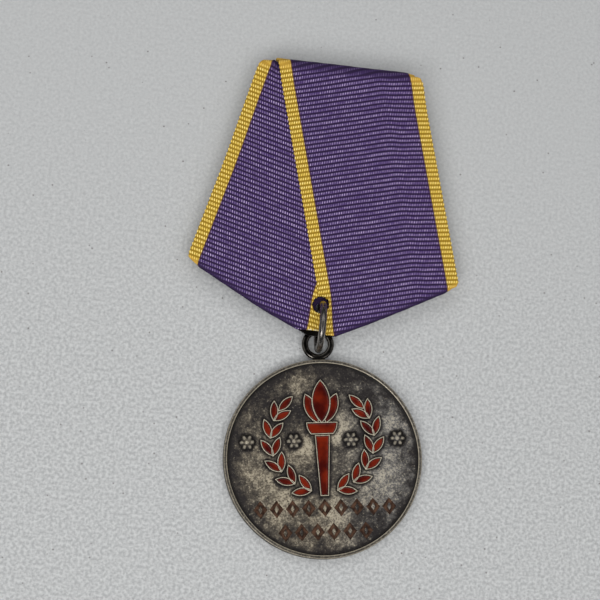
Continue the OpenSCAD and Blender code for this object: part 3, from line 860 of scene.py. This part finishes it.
def medal_flan(relief, material):
    """The rim and the edge, turned round the medal's axis."""
    rings = [np.column_stack([circle(r, RIM_STEPS), np.full(RIM_STEPS, z)]) for r, z, _ in RIM_SECTION]
    worn = np.repeat([wear for _, _, wear in RIM_SECTION], RIM_STEPS)
    faces = grid_faces(len(RIM_SECTION), RIM_STEPS, closed=True)
    flan = silver_piece("medal_flan", np.concatenate(rings), faces, worn, relief, material)
    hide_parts("medal_disc")


def medal_reverse(material):
    """The bare field of the reverse, darker along its rim from dirt and painted shade."""
    rim = circle(REVERSE_R, RIM_STEPS)
    flat, faces = fill_outlines([rim], REVERSE_SPACING)
    points = np.column_stack([flat, np.full(len(flat), REVERSE_Z)])
    silver_piece("medal_reverse", points, [face[::-1] for face in faces], 0.0, rim, material)


def cell_walls(relief, loops, material):
    """Rounded walls of silver round each cell of enamel."""
    points, faces, worn = [], [], []
    for loop in loops:
        path = refine(loop, WALL_STEP)
        first = len(points)
        for place, out in zip(path, outward(path)):
            for away, z, wear in WALL_SECTION:
                points.append((*(place + out * away), z))
                worn.append(wear)
        faces += [tuple(first + i for i in face) for face in ring_faces(len(path), len(WALL_SECTION))]
    silver_piece("cell_walls", points, faces, np.array(worn), relief, material)


def rosette(name, centre_x, relief, material):
    """A raised flower: domed petals round a domed eye, on a low web."""
    petal_r = ROSETTE_R * 0.34
    half_w = petal_r * 1.06
    half_l = petal_r * 1.25
    points, worn = [], []
    for ring in range(ROSETTE_RINGS):
        reach = ROSETTE_R * 1.04 * (1 - ring / ROSETTE_RINGS)
        for spoke in range(ROSETTE_SPOKES):
            turn = math.tau * spoke / ROSETTE_SPOKES
            fold = (turn * PETALS / math.tau + 0.5) % 1 - 0.5
            sideways = reach * math.sin(fold * math.tau / PETALS)
            forwards = reach * math.cos(fold * math.tau / PETALS) - (ROSETTE_R - half_l)
            petal = 1 - (sideways / half_w) ** 2 - (forwards / half_l) ** 2
            eye = 1 - (reach / petal_r) ** 2
            web = WEB_H if reach < ROSETTE_R * 0.78 else 0.0
            height = max(PETAL_H * max(petal, 0) ** 0.5, EYE_H * max(eye, 0) ** 0.5, web)
            x = centre_x + reach * math.cos(turn)
            y = ROSETTE_Y + reach * math.sin(turn)
            points.append((x, y, FIELD_Z - 0.03 + height))
            worn.append(0.6 * min(1.0, height * 2.8) ** 4)
    faces = grid_faces(ROSETTE_RINGS, ROSETTE_SPOKES, closed=True)
    faces.append(tuple(range((ROSETTE_RINGS - 1) * ROSETTE_SPOKES, ROSETTE_RINGS * ROSETTE_SPOKES)))
    silver_piece(name, points, faces, np.array(worn), relief, material)


def enamel_piece(node, level, dome, material):
    """Enamel in a CAD node's cells, each filled a little higher in its middle than at its walls."""
    points, faces = [], []
    for group in cell_groups(outlines(node, level)):
        group = [refine(loop, ENAMEL_SPACING * 1.5) for loop in group]
        flat, cell_faces = fill_outlines(group, ENAMEL_SPACING)
        from_wall = nearest(flat, np.concatenate(group))
        heights = level - 0.05 + dome * (1 - np.exp(-from_wall / 0.3))
        first = len(points)
        points += [(x, y, z) for (x, y), z in zip(flat, heights)]
        faces += [tuple(first + i for i in face) for face in cell_faces]
    points = np.array(points)
    piece = new_piece("glaze_" + node, points, faces, MEDAL, place=points)
    piece.data.materials.append(material)
    thicken(piece, ENAMEL_T)
    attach(piece, "medal")
    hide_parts(node)


def dress_medal():
    """The disc, its cell walls, rosettes and enamel, in place of the CAD disc and its inlays."""
    silver = patinated_silver()
    red = fired_enamel("red_enamel", "3a0603", "701d07", 0.35, 0.03)
    dark = fired_enamel("dark_enamel", "2a1a11", "523a2b", 1.2, 0.3)
    cells = [loop for node in RED_NODES for loop in outlines(node, ENAMEL_Z)]
    channels = [loop for node in BORDER_NODES for loop in outlines(node, BORDER_ENAMEL_Z)]

    # Dirt and painted shade lie round everything raised: the cells and the rosettes
    flowers = [circle(ROSETTE_R - 0.45, 40) + (side * x, ROSETTE_Y) for x in ROSETTE_X for side in (-1, 1)]
    relief = np.concatenate([refine(loop, 0.3) for loop in cells] + flowers)

    medal_field(relief, channels, silver)
    medal_flan(relief, silver)
    medal_reverse(silver)
    cell_walls(relief, cells, silver)
    for side, word in ((-1, "left"), (1, "right")):
        for i, x in enumerate(ROSETTE_X):
            rosette(f"rosette_{word}_{i + 1}", side * x, relief, silver)
    for node in RED_NODES:
        enamel_piece(node, ENAMEL_Z, RED_DOME, red)
    for node in BORDER_NODES:
        enamel_piece(node, BORDER_ENAMEL_Z, BORDER_DOME, dark)


def dress_metal():
    """Better metals on the ring, the loop, the plates and the brooch pin, which keep their CAD shape."""
    for name, (low, high, rough, grain_mm, nodes) in METALS.items():
        metal = aged_metal(name, low, high, rough, grain_mm)
        for node in nodes:
            for slot in frame["nodes"][node].material_slots:
                slot.material = metal


# ---------- stage ----------


def softbox(name, place, size, power, in_gloss):
    """A square soft light aimed at the middle of the object."""
    light = bpy.data.lights.new(name, "AREA")
    light.size = size
    light.energy = power
    light.color = srgb(LAMP_COLOUR)[:3]
    lamp = bpy.data.objects.new(name, light)
    lamp.location = place
    lamp.visible_glossy = in_gloss
    bpy.context.collection.objects.link(lamp)
    lamp.rotation_euler = (-lamp.location).to_track_quat("-Z", "Y").to_euler()


def room_light():
    """A pale room that is brightest halfway up, with the shade of whoever holds the camera overhead."""
    world = bpy.data.worlds.new("room")
    world.use_nodes = True
    tree = world.node_tree
    towards = add(tree, "TexCoord", output="Generated")
    height = add(tree, "SeparateXYZ", (towards,)).node.outputs[2]
    walls = add(tree, "MapRange", (height, 0.5, 0.78))
    room = add(tree, "Mix", {0: walls, 6: srgb("4c4e50"), 7: srgb("fbfcff")})
    overhead = add(tree, "MapRange", (height, 0.87, 0.955))
    room = add(tree, "Mix", {0: overhead, 6: room, 7: srgb("303132")})
    background = tree.nodes["Background"]
    tree.links.new(room, background.inputs["Color"])
    background.inputs["Strength"].default_value = ROOM_STRENGTH
    bpy.context.scene.world = world


def set_stage():
    """A pale table in a pale room, under soft lamps."""
    bpy.ops.mesh.primitive_plane_add(size=TABLE_SIZE, location=(0, 0, 0))
    table = bpy.context.object
    table.name = "table"
    table.data.materials.append(table_top())
    for name, (place, size, power, in_gloss) in LAMPS.items():
        softbox(name, place, size, power, in_gloss)
    room_light()
    bpy.context.scene.view_settings.view_transform = "Standard"


def set_camera():
    """The camera stands over the medal's lower left, a third of a metre up."""
    data = bpy.data.cameras.new("camera")
    data.lens = CAMERA_LENS
    data.sensor_width = CAMERA_SENSOR
    camera = bpy.data.objects.new("camera", data)
    forward = Vector(CAMERA_FORWARD).normalized()
    right = forward.cross(Vector(CAMERA_UP)).normalized()
    up = right.cross(forward)
    axes = Matrix((right, up, -forward)).transposed().to_4x4()
    camera.matrix_world = Matrix.Translation(Vector(CAMERA_PLACE) * MM) @ axes
    bpy.context.collection.objects.link(camera)
    bpy.context.scene.camera = camera


dress_ribbon()
dress_medal()
dress_metal()
set_stage()
set_camera()
